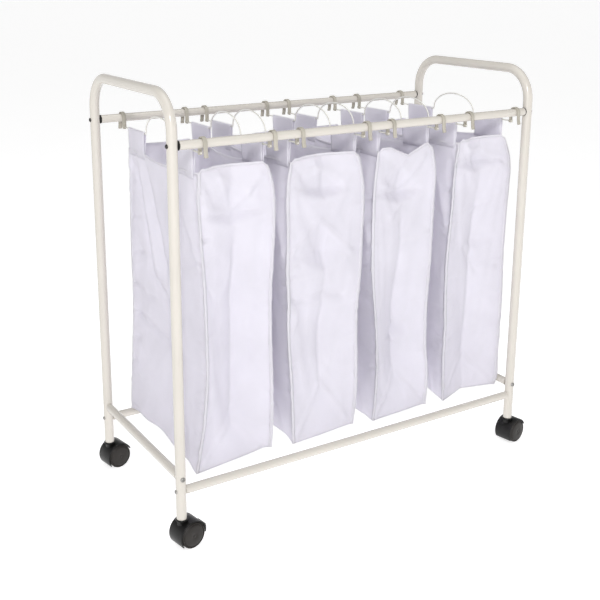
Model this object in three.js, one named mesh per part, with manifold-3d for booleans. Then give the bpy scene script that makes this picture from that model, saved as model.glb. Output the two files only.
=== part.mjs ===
// Laundry sorter on wheels: a tube-steel cart with four fabric bags, each hung from two wire hangers.
// Millimetres, +Z up. +X runs along the cart from left to right, and -Y is its front.
// The cart is built about the middle of its frame and moved at the end, so that the origin is the
// centre of the bottom of the whole part's box.
import * as THREE from "three";
import { mergeVertices } from "three/addons/utils/BufferGeometryUtils.js";
import Module from "manifold-3d";

const wasm = await Module();
wasm.setup();

// Frame
const POST_PITCH_X = 806.5;
const POST_PITCH_Y = 350;
const TOTAL_HEIGHT = 838.2;
const POST_BOTTOM_Z = 58;
const POST_RADIUS = 9.5;
const POST_BORE_RADIUS = 8.3;
const BEND_RADIUS = 62;
const ROD_RADIUS = 8;
const ROD_BORE_RADIUS = 7;
const UPPER_ROD_Z = 744;
const LOWER_ROD_Z = 113;
const CROSSBAR_Z = 139;
const TOUCH_GAP = 0.3;
const TUBE_SIDES = 16;
const ROD_SIDES = 12;
const BEND_STEPS = 6;

// Crossbar screws
const SCREW_HEAD_RADIUS = 4.4;
const SCREW_HEAD_HEIGHT = 2.4;
const SCREW_SHANK_RADIUS = 2;
const SCREW_SHANK_LENGTH = 32;
const SCREW_HOLE_RADIUS = 2.6;

// Casters: 50 mm twin wheels under a hood, trailing behind the swivel axis
const WHEEL_RADIUS = 25;
const WHEEL_SIDES = 20;
const WHEEL_INNER_FACE = 5;
const WHEEL_OUTER_FACE = 19.4;
const WHEEL_CROWN = 20.6;
const WHEEL_HOLE_RADIUS = 3.25;
const AXLE_RADIUS = 3;
const AXLE_HALF_LENGTH = 16;
const CASTER_TRAIL = 13;
const CASTER_TURN = THREE.MathUtils.degToRad(10);
const HOOD_INNER_RADIUS = 26.3;
const HOOD_OUTER_RADIUS = 28.6;
const HOOD_HALF_WIDTH = 19.4;
const HOOD_START = THREE.MathUtils.degToRad(25);
const HOOD_END = THREE.MathUtils.degToRad(215);
const HOOD_STEPS = 12;
const WEB_HALF_WIDTH = 3.5;
const HUB_RADIUS = 9;
const COLLAR_RADIUS = 11.3;
const COLLAR_NECK_RADIUS = 9.2;
const COLLAR_HEIGHT = 2.6;
const COLLAR_BOTTOM_Z = 40;
const STEM_RADIUS = 7.8;
const STEM_TOP_Z = 92;

// Brake levers, snapped into a round seat in the caster's web
const LEVER_PIVOT = new THREE.Vector2(18, 6); // from the axle, along the trail and up
const LEVER_KNUCKLE_RADIUS = 4;
const LEVER_SEAT_RADIUS = 4.4;
const LEVER_LUG_RADIUS = 7;
const LEVER_ARM_HALF_WIDTH = 4;
const PEDAL_HALF_WIDTH = 12;
const PEDAL_INNER_RADIUS = 28.6;
const PEDAL_OUTER_RADIUS = 34;
const PEDAL_LOW = THREE.MathUtils.degToRad(-13);
const PEDAL_HIGH = THREE.MathUtils.degToRad(15);

// Bags, from left to right: middle of the mouth, distance between the two hangers, and how far
// the bag is turned on the rods, its front edge towards +X
const BAGS = [
  { middle: -278, mouth: 137, skew: 0 },
  { middle: -85, mouth: 146, skew: 2 },
  { middle: 104, mouth: 120, skew: 2.4 },
  { middle: 296, mouth: 124, skew: 3.6 },
];
const BAG_BASE_WIDTH = 146;
const BAG_DEPTH = 290;
const BAG_BOW = 12; // how far the end panels stand proud at their middle
const BAG_BOTTOM_Z = 124;
const BAG_SIDE_TOP_Z = 688;
const BAG_END_TOP_Z = 697;
const BAG_WALL = 2;
const BOW_STEPS = 5;
const HEM_BOTTOM_Z = 676;
const TAB_INNER_Y = 66;
const TAB_OUTER_Y = 141;
const SLEEVE_RADIUS = 3.4;
const SLEEVE_BORE_RADIUS = 2;

// Wire hangers
const WIRE_RADIUS = 1.5;
const WIRE_SIDES = 6;
const WIRE_Z = 726;
const ARCH_HALF_WIDTH = 60;
const ARCH_PEAK_Z = 766;
const ARCH_STEPS = 10;
const ARCH_FILLET = 4;
const FILLET_STEPS = 2;

// Hooks: an upside-down U over the rod, with the wire through the foot of its inner leg
const HOOK_SLOT_RADIUS = 8.6;
const HOOK_OUTER_RADIUS = 11.6;
const HOOK_WIDTH = 8;
const HOOK_FOOT_Z = 722.5;
const HOOK_HOLE_RADIUS = 2;
const HOOK_STEPS = 6;

const paint = new THREE.MeshStandardMaterial({ color: 0xf1ede4, roughness: 0.35, metalness: 0.1 });
const wirePaint = new THREE.MeshStandardMaterial({ color: 0xefece2, roughness: 0.4, metalness: 0.1 });
const steel = new THREE.MeshStandardMaterial({ color: 0xa9a9a6, roughness: 0.3, metalness: 0.9 });
const fabric = new THREE.MeshStandardMaterial({ color: 0xf0eff7, roughness: 0.85, metalness: 0 });
const hookPlastic = new THREE.MeshStandardMaterial({ color: 0xc9c4b8, roughness: 0.5, metalness: 0 });
const blackPlastic = new THREE.MeshStandardMaterial({ color: 0x1b1b1d, roughness: 0.4, metalness: 0 });
const wheelPlastic = new THREE.MeshStandardMaterial({ color: 0x242426, roughness: 0.5, metalness: 0 });

// Geometry to solid and back

function solidOf(geometry) {
  const bare = geometry.clone();
  bare.deleteAttribute("normal");
  bare.deleteAttribute("uv");
  const merged = mergeVertices(bare, 1e-4);
  const vertProperties = Float32Array.from(merged.attributes.position.array);
  const triVerts = Uint32Array.from(merged.index.array);
  return new wasm.Manifold(new wasm.Mesh({ numProp: 3, vertProperties, triVerts }));
}

function geometryOf(solid) {
  const mesh = solid.getMesh();
  const geometry = new THREE.BufferGeometry();
  geometry.setAttribute("position", new THREE.BufferAttribute(Float32Array.from(mesh.vertProperties), 3));
  geometry.setIndex(new THREE.BufferAttribute(Uint32Array.from(mesh.triVerts), 1));
  geometry.computeVertexNormals();
  return geometry;
}

function joined(geometries) {
  return geometries.map(solidOf).reduce((whole, next) => whole.add(next));
}

function meshOf(name, shape, material) {
  const geometry = shape.isBufferGeometry ? shape : geometryOf(shape);
  const mesh = new THREE.Mesh(geometry, material);
  mesh.name = name;
  return mesh;
}

// A path that is sampled only at the stations it is given, so that straight runs stay light.
class StationPath extends THREE.Curve {
  constructor(stations) {
    super();
    this.stations = stations;
  }

  stationAt(u) {
    return this.stations[Math.round(u * (this.stations.length - 1))];
  }

  getPointAt(u) {
    return this.stationAt(u).point.clone();
  }

  getTangentAt(u) {
    return this.stationAt(u).tangent.clone();
  }
}

function polygon(radius, sides, hole) {
  const ring = (r, Kind) => {
    const corners = [];
    for (let i = 0; i < sides; i++) {
      const angle = (2 * Math.PI * i) / sides;
      corners.push(new THREE.Vector2(r * Math.cos(angle), r * Math.sin(angle)));
    }
    return new Kind(corners);
  };
  const shape = ring(radius, THREE.Shape);
  if (hole) shape.holes.push(ring(hole, THREE.Path));
  return shape;
}

function sweep(section, stations) {
  return new THREE.ExtrudeGeometry(section, {
    steps: stations.length - 1,
    bevelEnabled: false,
    extrudePath: new StationPath(stations),
  });
}

// A station in the YZ plane: its place, and the direction of travel as an angle from +Y towards +Z.
function station(y, z, heading) {
  return {
    point: new THREE.Vector3(0, y, z),
    tangent: new THREE.Vector3(0, Math.cos(heading), Math.sin(heading)),
  };
}

// A plate standing in the XZ plane, centred on y = 0.
function plateXZ(shape, halfWidth, curveSegments = 8) {
  const geometry = new THREE.ExtrudeGeometry(shape, {
    depth: 2 * halfWidth,
    bevelEnabled: false,
    curveSegments,
  });
  return geometry.rotateX(Math.PI / 2).translate(0, halfWidth, 0);
}

// Frame parts

function endFrameStations() {
  const y = POST_PITCH_Y / 2;
  const topZ = TOTAL_HEIGHT - POST_RADIUS;
  const stations = [station(-y, POST_BOTTOM_Z, Math.PI / 2)];
  for (const side of [-1, 1]) {
    for (let i = 0; i <= BEND_STEPS; i++) {
      const turned = (Math.PI / 2) * (i / BEND_STEPS);
      const heading = side < 0 ? Math.PI / 2 - turned : -turned;
      const along = side < 0 ? Math.cos(turned) : Math.sin(turned);
      const up = side < 0 ? Math.sin(turned) : Math.cos(turned);
      const bendY = side * (y - BEND_RADIUS) + side * along * BEND_RADIUS;
      stations.push(station(bendY, topZ - BEND_RADIUS + up * BEND_RADIUS, heading));
    }
  }
  stations.push(station(y, POST_BOTTOM_Z, -Math.PI / 2));
  return stations;
}

function endFrame() {
  let frame = solidOf(sweep(polygon(POST_RADIUS, TUBE_SIDES, POST_BORE_RADIUS), endFrameStations()));
  for (const side of [-1, 1]) {
    const drill = new THREE.CylinderGeometry(SCREW_HOLE_RADIUS, SCREW_HOLE_RADIUS, 3 * POST_RADIUS, 8);
    drill.translate(0, (side * POST_PITCH_Y) / 2, CROSSBAR_Z);
    frame = frame.subtract(solidOf(drill));
  }
  return frame;
}

// A straight tube along Y, centred on the origin.
function straightTube(length) {
  const ends = [station(-length / 2, 0, 0), station(length / 2, 0, 0)];
  return sweep(polygon(ROD_RADIUS, ROD_SIDES, ROD_BORE_RADIUS), ends);
}

// A pan-head screw that points along +Y, with the underside of its head at the origin.
function crossbarScrew() {
  const profile = [
    [0, -SCREW_HEAD_HEIGHT],
    [SCREW_HEAD_RADIUS * 0.65, -SCREW_HEAD_HEIGHT],
    [SCREW_HEAD_RADIUS, -SCREW_HEAD_HEIGHT * 0.4],
    [SCREW_HEAD_RADIUS, 0],
    [SCREW_SHANK_RADIUS, 0],
    [SCREW_SHANK_RADIUS, SCREW_SHANK_LENGTH - 3],
    [0, SCREW_SHANK_LENGTH],
  ];
  return new THREE.LatheGeometry(profile.map(([r, y]) => new THREE.Vector2(r, y)), 12);
}

// Caster parts, in the caster's own frame: the swivel axis is Z, +X is the trail, the axle lies along Y

function hoodShape() {
  const shape = new THREE.Shape();
  shape.absarc(CASTER_TRAIL, WHEEL_RADIUS, HOOD_OUTER_RADIUS, HOOD_START, HOOD_END, false);
  shape.absarc(CASTER_TRAIL, WHEEL_RADIUS, HOOD_INNER_RADIUS, HOOD_END, HOOD_START, true);
  return shape;
}

function webShape() {
  const shape = new THREE.Shape();
  const reach = (HOOD_INNER_RADIUS + HOOD_OUTER_RADIUS) / 2;
  shape.absarc(CASTER_TRAIL, WHEEL_RADIUS, reach, HOOD_START + 0.17, HOOD_END - 0.05, false);
  shape.lineTo(CASTER_TRAIL, WHEEL_RADIUS);
  return shape;
}

function cylinderAlongY(radius, halfLength, sides, x, z) {
  const geometry = new THREE.CylinderGeometry(radius, radius, 2 * halfLength, sides);
  return geometry.translate(x, 0, z);
}

// The collar and stem, turned about the swivel axis and cut away round the wheels.
function stem() {
  const top = POST_BOTTOM_Z - TOUCH_GAP;
  const profile = [
    [0, COLLAR_BOTTOM_Z],
    [COLLAR_NECK_RADIUS, COLLAR_BOTTOM_Z],
    [COLLAR_NECK_RADIUS, top - 2 * COLLAR_HEIGHT],
    [COLLAR_RADIUS, top - COLLAR_HEIGHT],
    [COLLAR_RADIUS, top],
    [STEM_RADIUS, top],
    [STEM_RADIUS, STEM_TOP_Z - 4],
    [STEM_RADIUS - 3, STEM_TOP_Z],
    [0, STEM_TOP_Z],
  ];
  const turned = new THREE.LatheGeometry(profile.map(([r, z]) => new THREE.Vector2(r, z)), 14);
  turned.rotateX(Math.PI / 2);
  const wheels = cylinderAlongY(HOOD_INNER_RADIUS + 0.5, HOOD_HALF_WIDTH, 24, CASTER_TRAIL, WHEEL_RADIUS);
  return solidOf(turned).subtract(solidOf(wheels));
}

function casterHousing(hasBrake) {
  let housing = joined([
    plateXZ(hoodShape(), HOOD_HALF_WIDTH, HOOD_STEPS),
    plateXZ(webShape(), WEB_HALF_WIDTH, HOOD_STEPS),
    cylinderAlongY(HUB_RADIUS, WEB_HALF_WIDTH, 14, CASTER_TRAIL, WHEEL_RADIUS),
    cylinderAlongY(AXLE_RADIUS, AXLE_HALF_LENGTH, 12, CASTER_TRAIL, WHEEL_RADIUS),
  ]).add(stem());
  if (hasBrake) {
    const x = CASTER_TRAIL + LEVER_PIVOT.x;
    const z = WHEEL_RADIUS + LEVER_PIVOT.y;
    const lug = cylinderAlongY(LEVER_LUG_RADIUS, WEB_HALF_WIDTH, 14, x, z);
    const seat = cylinderAlongY(LEVER_SEAT_RADIUS, 2 * WEB_HALF_WIDTH, 14, x, z);
    const doorway = new THREE.BoxGeometry(12, 4 * WEB_HALF_WIDTH, 12.6);
    doorway.translate(x + 6, 0, z - 2.6);
    housing = housing.add(solidOf(lug)).subtract(solidOf(seat)).subtract(solidOf(doorway));
  }
  return housing;
}

// A wheel with its tread flats at the tread radius and its axle hole blind. side is -1 at the front.
function wheel(side) {
  const tread = WHEEL_RADIUS / Math.cos(Math.PI / WHEEL_SIDES);
  const profile = [
    [0, WHEEL_CROWN],
    [0, AXLE_HALF_LENGTH + 0.6],
    [WHEEL_HOLE_RADIUS, AXLE_HALF_LENGTH + 0.6],
    [WHEEL_HOLE_RADIUS, WHEEL_INNER_FACE],
    [tread, WHEEL_INNER_FACE],
    [tread, WHEEL_OUTER_FACE - 1.5],
    [tread - 2, WHEEL_OUTER_FACE],
    [0, WHEEL_CROWN],
  ];
  const points = profile.map(([r, y]) => new THREE.Vector2(r, side * y));
  if (side < 0) points.reverse();
  return new THREE.LatheGeometry(points, WHEEL_SIDES, Math.PI / WHEEL_SIDES);
}

function brakeLever() {
  const pedal = new THREE.Shape();
  pedal.absarc(0, 0, PEDAL_OUTER_RADIUS, PEDAL_LOW, PEDAL_HIGH, false);
  pedal.absarc(0, 0, PEDAL_INNER_RADIUS, PEDAL_HIGH, PEDAL_LOW, true);
  const arm = new THREE.BoxGeometry(PEDAL_INNER_RADIUS + 1 - LEVER_PIVOT.x, 2 * LEVER_ARM_HALF_WIDTH, 5);
  arm.translate((PEDAL_INNER_RADIUS + 1 + LEVER_PIVOT.x) / 2, 0, LEVER_PIVOT.y - 1.4);
  const lever = joined([
    plateXZ(pedal, PEDAL_HALF_WIDTH, 6),
    arm,
    cylinderAlongY(LEVER_KNUCKLE_RADIUS, LEVER_ARM_HALF_WIDTH, 14, LEVER_PIVOT.x, LEVER_PIVOT.y),
  ]);
  return geometryOf(lever).translate(CASTER_TRAIL, 0, WHEEL_RADIUS);
}

// Hanger parts, in the bag's own frame: X across the bag, Y along its depth

function wireStations() {
  const end = POST_PITCH_Y / 2 - HOOK_SLOT_RADIUS - TOUCH_GAP;
  const footY = ARCH_HALF_WIDTH + ARCH_FILLET;
  const archFootZ = WIRE_Z + ARCH_FILLET;
  const half = [station(-end, WIRE_Z, 0)];
  for (let i = 0; i <= FILLET_STEPS; i++) {
    const heading = (Math.PI / 2) * (i / FILLET_STEPS);
    const y = -footY + ARCH_FILLET * Math.sin(heading);
    half.push(station(y, archFootZ - ARCH_FILLET * Math.cos(heading), heading));
  }
  const rise = ARCH_PEAK_Z - archFootZ;
  for (let i = 1; i < ARCH_STEPS / 2; i++) {
    const angle = Math.PI * (1 - i / ARCH_STEPS);
    const heading = Math.atan2(-rise * Math.cos(angle), ARCH_HALF_WIDTH * Math.sin(angle));
    half.push(station(ARCH_HALF_WIDTH * Math.cos(angle), archFootZ + rise * Math.sin(angle), heading));
  }
  const mirrored = half.map(({ point, tangent }) =>
    station(-point.y, point.z, -Math.atan2(tangent.z, tangent.y)),
  );
  return [...half, station(0, ARCH_PEAK_Z, 0), ...mirrored.reverse()];
}

// A hook over a rod that runs along X, its inner leg towards +Y.
function hook() {
  const foot = HOOK_FOOT_Z - UPPER_ROD_Z;
  const outline = new THREE.Shape();
  outline.moveTo(HOOK_OUTER_RADIUS, foot);
  outline.lineTo(HOOK_OUTER_RADIUS, 0);
  outline.absarc(0, 0, HOOK_OUTER_RADIUS, 0, Math.PI, false);
  outline.lineTo(-HOOK_OUTER_RADIUS, foot);
  outline.lineTo(-HOOK_SLOT_RADIUS, foot);
  outline.lineTo(-HOOK_SLOT_RADIUS, 0);
  outline.absarc(0, 0, HOOK_SLOT_RADIUS, Math.PI, 0, true);
  outline.lineTo(HOOK_SLOT_RADIUS, foot);
  const body = new THREE.ExtrudeGeometry(outline, {
    depth: HOOK_WIDTH,
    bevelEnabled: false,
    curveSegments: HOOK_STEPS,
  });
  body.translate(0, 0, -HOOK_WIDTH / 2);
  body.rotateX(Math.PI / 2).rotateZ(Math.PI / 2);
  const hole = new THREE.CylinderGeometry(HOOK_HOLE_RADIUS, HOOK_HOLE_RADIUS, HOOK_SLOT_RADIUS, 8);
  hole.translate(0, HOOK_OUTER_RADIUS, WIRE_Z - UPPER_ROD_Z);
  return solidOf(body).subtract(solidOf(hole));
}

// Bag parts

// A prism whose front and back bow outwards, and whose width goes from base to top.
function bagPrism(baseWidth, topWidth, depth, lowZ, highZ) {
  const half = new THREE.Vector2(baseWidth / 2, depth / 2);
  const outline = new THREE.Shape();
  outline.moveTo(-half.x, -half.y);
  outline.quadraticCurveTo(0, -half.y - 2 * BAG_BOW, half.x, -half.y);
  outline.lineTo(half.x, half.y);
  outline.quadraticCurveTo(0, half.y + 2 * BAG_BOW, -half.x, half.y);
  const prism = new THREE.ExtrudeGeometry(outline, {
    depth: highZ - lowZ,
    bevelEnabled: false,
    curveSegments: BOW_STEPS,
  });
  prism.translate(0, 0, lowZ);
  const places = prism.attributes.position;
  for (let i = 0; i < places.count; i++) {
    const height = (places.getZ(i) - BAG_BOTTOM_Z) / (BAG_END_TOP_Z - BAG_BOTTOM_Z);
    const width = THREE.MathUtils.lerp(baseWidth, topWidth, height);
    places.setX(i, (places.getX(i) * width) / baseWidth);
  }
  return solidOf(prism);
}

// The two sleeved tabs over a wire at x, standing on a side panel.
function tabs(x) {
  const middleY = (TAB_INNER_Y + TAB_OUTER_Y) / 2;
  const length = TAB_OUTER_Y - TAB_INNER_Y;
  const solids = [];
  for (const side of [-1, 1]) {
    const flap = new THREE.BoxGeometry(BAG_WALL, length, WIRE_Z - BAG_SIDE_TOP_Z + 4);
    flap.translate(x, side * middleY, (WIRE_Z + BAG_SIDE_TOP_Z - 4) / 2);
    const sleeve = new THREE.CylinderGeometry(SLEEVE_RADIUS, SLEEVE_RADIUS, length, 10);
    sleeve.translate(x, side * middleY, WIRE_Z);
    const bore = new THREE.CylinderGeometry(SLEEVE_BORE_RADIUS, SLEEVE_BORE_RADIUS, length + 4, 8);
    bore.translate(x, side * middleY, WIRE_Z);
    solids.push(joined([flap, sleeve]).subtract(solidOf(bore)));
  }
  return solids;
}

function bagShell(mouth) {
  const top = mouth + BAG_WALL;
  const outer = bagPrism(BAG_BASE_WIDTH, top, BAG_DEPTH, BAG_BOTTOM_Z, BAG_END_TOP_Z);
  const inner = bagPrism(
    BAG_BASE_WIDTH - 2 * BAG_WALL,
    top - 2 * BAG_WALL,
    BAG_DEPTH - 2 * BAG_WALL,
    BAG_BOTTOM_Z + BAG_WALL,
    BAG_END_TOP_Z + 10,
  );
  const leftCut = new THREE.BoxGeometry(4 * BAG_WALL, 2 * TAB_OUTER_Y, 40);
  leftCut.translate(-mouth / 2, 0, BAG_SIDE_TOP_Z + 20);
  const rightCut = new THREE.BoxGeometry(8 * BAG_WALL, BAG_DEPTH - 2 * BAG_WALL, 40);
  rightCut.translate(mouth / 2, 0, HEM_BOTTOM_Z - TOUCH_GAP + 20);
  const walls = outer.subtract(inner).subtract(solidOf(leftCut)).subtract(solidOf(rightCut));
  return tabs(-mouth / 2).reduce((whole, tab) => whole.add(tab), walls);
}

// The right side's hem and tabs, which slide with the right hanger.
function rightBand(mouth) {
  const hem = new THREE.BoxGeometry(BAG_WALL, 2 * TAB_OUTER_Y, BAG_SIDE_TOP_Z - HEM_BOTTOM_Z);
  hem.translate(mouth / 2, 0, (BAG_SIDE_TOP_Z + HEM_BOTTOM_Z) / 2);
  return tabs(mouth / 2).reduce((whole, tab) => whole.add(tab), solidOf(hem));
}

// Assembly

const ENDS = [
  ["left", -1],
  ["right", 1],
];
const FACES = [
  ["front", -1],
  ["rear", 1],
];

function framework() {
  const group = new THREE.Group();
  const halfX = POST_PITCH_X / 2;
  const halfY = POST_PITCH_Y / 2;
  const reach = POST_RADIUS + TOUCH_GAP;
  for (const [end, x] of ENDS) {
    const frame = meshOf(`end_frame_${end}`, endFrame(), paint);
    frame.position.x = x * halfX;
    const crossbar = meshOf(`crossbar_${end}`, straightTube(POST_PITCH_Y - 2 * reach), paint);
    crossbar.position.set(x * halfX, 0, CROSSBAR_Z);
    group.add(frame, crossbar);
    for (const [face, y] of FACES) {
      const screw = meshOf(`crossbar_screw_${face}_${end}`, crossbarScrew(), steel);
      screw.rotation.z = y < 0 ? 0 : Math.PI;
      screw.position.set(x * halfX, y * (halfY + reach), CROSSBAR_Z);
      group.add(screw);
    }
  }
  for (const [level, z] of [["upper", UPPER_ROD_Z], ["lower", LOWER_ROD_Z]]) {
    for (const [face, y] of FACES) {
      const rod = meshOf(`${level}_rod_${face}`, straightTube(POST_PITCH_X - 2 * reach), paint);
      rod.rotation.z = Math.PI / 2;
      rod.position.set(0, y * halfY, z);
      group.add(rod);
    }
  }
  return group;
}

function caster(name, hasBrake) {
  const group = new THREE.Group();
  group.rotation.z = CASTER_TURN;
  group.add(meshOf(`${name}_housing`, casterHousing(hasBrake), blackPlastic));
  for (const [face, side] of FACES) {
    const disc = meshOf(`${name}_wheel_${face}`, wheel(side), wheelPlastic);
    disc.position.set(CASTER_TRAIL, 0, WHEEL_RADIUS);
    group.add(disc);
  }
  if (hasBrake) group.add(meshOf(`${name}_brake_lever`, brakeLever(), blackPlastic));
  return group;
}

function casters() {
  const group = new THREE.Group();
  for (const [end, x] of ENDS) {
    for (const [face, y] of FACES) {
      const made = caster(`caster_${face}_${end}`, x === y);
      made.position.set((x * POST_PITCH_X) / 2, (y * POST_PITCH_Y) / 2, 0);
      group.add(made);
    }
  }
  return group;
}

// A hanger's wire with its two hooks, turned on the rods.
function hanger(number, end, skew) {
  const group = new THREE.Group();
  group.rotation.z = THREE.MathUtils.degToRad(skew);
  const reach = POST_PITCH_Y / 2 / Math.cos(group.rotation.z);
  const wireSection = polygon(WIRE_RADIUS, WIRE_SIDES);
  group.add(meshOf(`bag_${number}_wire_${end}`, sweep(wireSection, wireStations()), wirePaint));
  for (const [face, y] of FACES) {
    const clip = meshOf(`bag_${number}_hook_${face}_${end}`, hook(), hookPlastic);
    clip.rotation.z = y < 0 ? 0 : Math.PI;
    clip.position.set(0, y * reach, UPPER_ROD_Z);
    group.add(clip);
  }
  return group;
}

// A bag with its two hangers. The fabric follows the turned hangers by shearing.
function bag(number, { middle, mouth, skew }) {
  const group = new THREE.Group();
  group.position.x = middle;
  const shear = new THREE.Matrix4();
  shear.makeShear(0, 0, -Math.tan(THREE.MathUtils.degToRad(skew)), 0, 0, 0);
  const shell = geometryOf(bagShell(mouth)).applyMatrix4(shear);
  const band = geometryOf(rightBand(mouth)).applyMatrix4(shear);
  group.add(meshOf(`bag_${number}_shell`, shell, fabric));
  group.add(meshOf(`bag_${number}_right_band`, band, fabric));
  for (const [end, x] of ENDS) {
    const side = hanger(number, end, skew);
    side.position.x = (x * mouth) / 2;
    group.add(side);
  }
  return group;
}

const cart = new THREE.Group();
cart.add(framework(), casters());
BAGS.forEach((sizes, i) => cart.add(bag(i + 1, sizes)));

const extent = new THREE.Box3().setFromObject(cart, true);
cart.position.x = -(extent.min.x + extent.max.x) / 2;
cart.position.y = -(extent.min.y + extent.max.y) / 2;

const sorter = new THREE.Group();
sorter.add(cart);

export default sorter;
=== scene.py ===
"""The looks of a laundry sorter on wheels: smooth enamelled tubes, moulded casters and hooks, and four
fabric bags draped by cloth simulation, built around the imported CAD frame. Metres, +Z up."""
import math

import bmesh
import bpy
import numpy as np
from mathutils import Matrix, Vector, noise


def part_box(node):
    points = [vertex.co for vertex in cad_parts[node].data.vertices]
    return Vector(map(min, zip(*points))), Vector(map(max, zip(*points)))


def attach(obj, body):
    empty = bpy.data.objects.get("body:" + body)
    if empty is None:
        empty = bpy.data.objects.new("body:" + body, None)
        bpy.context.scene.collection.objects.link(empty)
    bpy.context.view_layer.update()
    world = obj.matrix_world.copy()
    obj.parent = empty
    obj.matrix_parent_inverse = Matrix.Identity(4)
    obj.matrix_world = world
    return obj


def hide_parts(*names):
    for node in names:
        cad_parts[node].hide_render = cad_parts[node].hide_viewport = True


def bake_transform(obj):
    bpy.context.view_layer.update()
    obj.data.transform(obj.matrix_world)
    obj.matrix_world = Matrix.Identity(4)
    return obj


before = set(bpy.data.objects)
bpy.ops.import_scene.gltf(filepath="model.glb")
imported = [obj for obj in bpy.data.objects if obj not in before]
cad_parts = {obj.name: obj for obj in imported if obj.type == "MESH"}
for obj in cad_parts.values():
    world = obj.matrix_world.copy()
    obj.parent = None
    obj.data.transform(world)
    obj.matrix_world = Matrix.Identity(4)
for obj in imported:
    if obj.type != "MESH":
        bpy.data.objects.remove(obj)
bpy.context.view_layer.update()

MM = 0.001

# Sizes that the boxes of the CAD nodes don't give
BEND_RADIUS = 62 * MM
CASTER_TRAIL = 13 * MM
CASTER_TURN = math.radians(10)
HOOD_INNER_RADIUS = 26.3 * MM
HOOD_OUTER_RADIUS = 28.6 * MM
HOOD_RADIUS = (HOOD_INNER_RADIUS + HOOD_OUTER_RADIUS) / 2
HOOD_HALF_WIDTH = 19.4 * MM
HOOD_START = math.radians(25)
HOOD_END = math.radians(215)
ARCH_HALF_WIDTH = 60 * MM
ARCH_FILLET = 4 * MM
HOOK_SLOT_RADIUS = 8.6 * MM
WIRE_RADIUS = 1.5 * MM
BAG_SKEWS = [0, 2, 2.4, 3.6]  # degrees, front edge towards +X


def middle(node):
    low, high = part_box(node)
    return (low + high) / 2


# The frame's own places, from the CAD
left_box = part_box("end_frame_left")
POST_RADIUS = (left_box[1].x - left_box[0].x) / 2
POST_X = {"left": middle("end_frame_left").x, "right": middle("end_frame_right").x}
POST_Y = {"front": left_box[0].y + POST_RADIUS, "rear": left_box[1].y - POST_RADIUS}
POST_BOTTOM = left_box[0].z
POST_TOP = left_box[1].z - POST_RADIUS
MIDDLE_Y = (POST_Y["front"] + POST_Y["rear"]) / 2
HALF_SPAN = (POST_Y["rear"] - POST_Y["front"]) / 2
ROD_RADIUS = (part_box("upper_rod_front")[1].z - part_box("upper_rod_front")[0].z) / 2
UPPER_ROD_Z = middle("upper_rod_front").z
CROSSBAR_Z = middle("crossbar_left").z
WIRE_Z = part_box("bag_1_wire_left")[0].z + WIRE_RADIUS
ARCH_PEAK_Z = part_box("bag_1_wire_left")[1].z - WIRE_RADIUS
WHEEL_RADIUS = middle("caster_front_left_wheel_front").z

# ---- camera

CAMERA_PLACE = Vector((-1.0849, -1.6102, 1.0193))
CAMERA_YAW = 0.5418
CAMERA_PITCH = 0.2497


def in_scene(name, data):
    """A new object for the data, in the scene."""
    made = bpy.data.objects.new(name, data)
    bpy.context.scene.collection.objects.link(made)
    return made


def make_camera():
    data = bpy.data.cameras.new("camera")
    data.sensor_width, data.lens = 36, 57.94
    data.shift_x, data.shift_y = 0.0439, -0.1333
    data.clip_start, data.clip_end = 0.05, 50
    camera = in_scene("camera", data)
    camera.location = CAMERA_PLACE
    camera.rotation_euler = (math.pi / 2 - CAMERA_PITCH, 0, -CAMERA_YAW)
    bpy.context.scene.camera = camera


make_camera()

# ---- materials


class Tree:
    """The node tree of a new material or world, with short calls for adding and linking nodes."""

    def __init__(self, owner, shader="Principled BSDF"):
        owner.use_nodes = True
        self.owner = owner
        self.nodes = owner.node_tree.nodes
        self.links = owner.node_tree.links
        self.shader = self.nodes[shader]
        self.places = self.add("TexCoord")

    def add(self, kind, settings=(), **inputs):
        """The outputs of a new node. settings: pairs of an attribute and its value."""
        node = self.nodes.new("ShaderNode" + kind)
        for key, value in settings:
            setattr(node, key, value)
        return self.feed(node, **inputs)

    def plug(self, socket, value):
        """Links a socket to another, or sets it to a number or a colour."""
        if isinstance(value, bpy.types.NodeSocket):
            self.links.new(value, socket)
        else:
            socket.default_value = (*value, 1) if isinstance(value, tuple) else value

    def feed(self, node, **values):
        """Fills the node's inputs, named with _ for a space, and returns its outputs."""
        for name, value in values.items():
            self.plug(node.inputs[name.replace("_", " ")], value)
        return node.outputs

    def shade(self, **values):
        self.feed(self.shader, **values)
        return self.owner

    def noise(self, scale, detail=3.0, roughness=0.5):
        place = self.places["Object"]
        return self.add("TexNoise", Vector=place, Scale=scale, Detail=detail, Roughness=roughness)["Fac"]

    def ranged(self, value, low, high, start=0.0, end=1.0):
        span = dict(From_Min=start, From_Max=end, To_Min=low, To_Max=high)
        return self.add("MapRange", Value=value, **span)["Result"]

    def math(self, operation, first, second=0):
        node = self.nodes.new("ShaderNodeMath")
        node.operation = operation
        self.plug(node.inputs[0], first)
        self.plug(node.inputs[1], second)
        return node.outputs["Value"]

    def wave(self, value, pitch):
        return self.math("SINE", self.math("MULTIPLY", value, 2 * math.pi / pitch))

    def mixed(self, factor, first, second):
        return self.add("Mix", [("data_type", "RGBA")], Factor=factor, A=first, B=second)["Result"]

    def bump(self, height, strength, distance, before=None):
        below = {"Normal": before} if before else {}
        return self.add("Bump", Height=height, Strength=strength, Distance=distance, **below)["Normal"]


def scaled(colour, factor):
    return tuple(c * factor for c in colour)


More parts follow.
